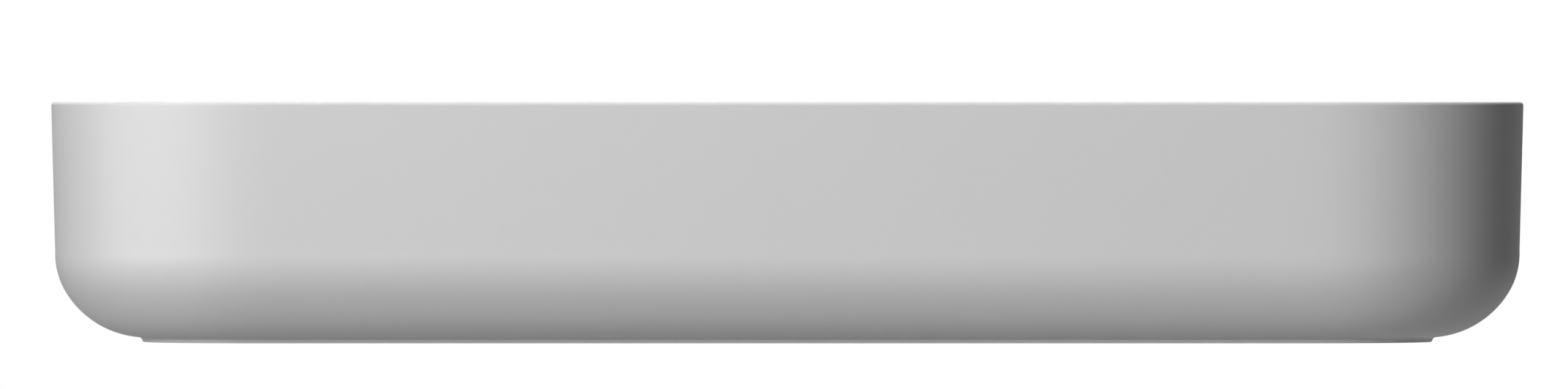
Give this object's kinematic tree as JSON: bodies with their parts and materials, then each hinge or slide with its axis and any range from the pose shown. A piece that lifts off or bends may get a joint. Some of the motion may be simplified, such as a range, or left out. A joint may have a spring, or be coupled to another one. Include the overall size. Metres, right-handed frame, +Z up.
{
  "type": "wall-hung basin",
  "caption": "Long, low wall-hung wash basin in glazed ceramic with soft front corners, a coved foot, a tap deck, an overflow, a push-to-open waste and wall bolts.",
  "frame": {"origin": "on the wall plane, midway between the two wall bolts", "axes": "+X to the right along the basin, +Y into the wall, +Z up; the front faces -Y"},
  "size_m": [0.9998, 0.5499, 0.1625],
  "materials": {
    "ceramic": "smooth white satin glaze",
    "chrome": "bright chrome",
    "brass": "turned brass",
    "steel": "zinc-plated and stainless steel",
    "rubber": "matt black rubber",
    "acetal": "moulded white acetal",
    "nylon": "moulded natural nylon"
  },
  "bodies": {
    "basin": {"basin_body": "ceramic", "overflow_ring": "chrome", "overflow_seal": "rubber", "waste_body": "chrome", "flange_seal": "rubber", "clamp_gasket": "rubber", "slip_washer": "acetal", "lock_nut": "brass", "cartridge_housing": "acetal", "cartridge_lid": "acetal", "cartridge_spring": "steel", "hanger_bolts": "steel", "bolt_sleeves": "nylon", "bolt_washers": "steel", "bolt_nuts": "steel", "nut_caps": "nylon"},
    "plug": {"cartridge_cam": "nylon", "plug_stem": "steel", "plug_cap": "chrome", "plug_seal": "rubber"}
  },
  "joints": [
    {"name": "plug_slide", "type": "slide", "parent": "basin", "child": "plug", "axis": [0, 0, 1], "range_m": [-0.008, 0], "stiffness_N_per_m": 700, "springref_m": 0.006, "deforming": ["cartridge_spring"]}
  ]
}
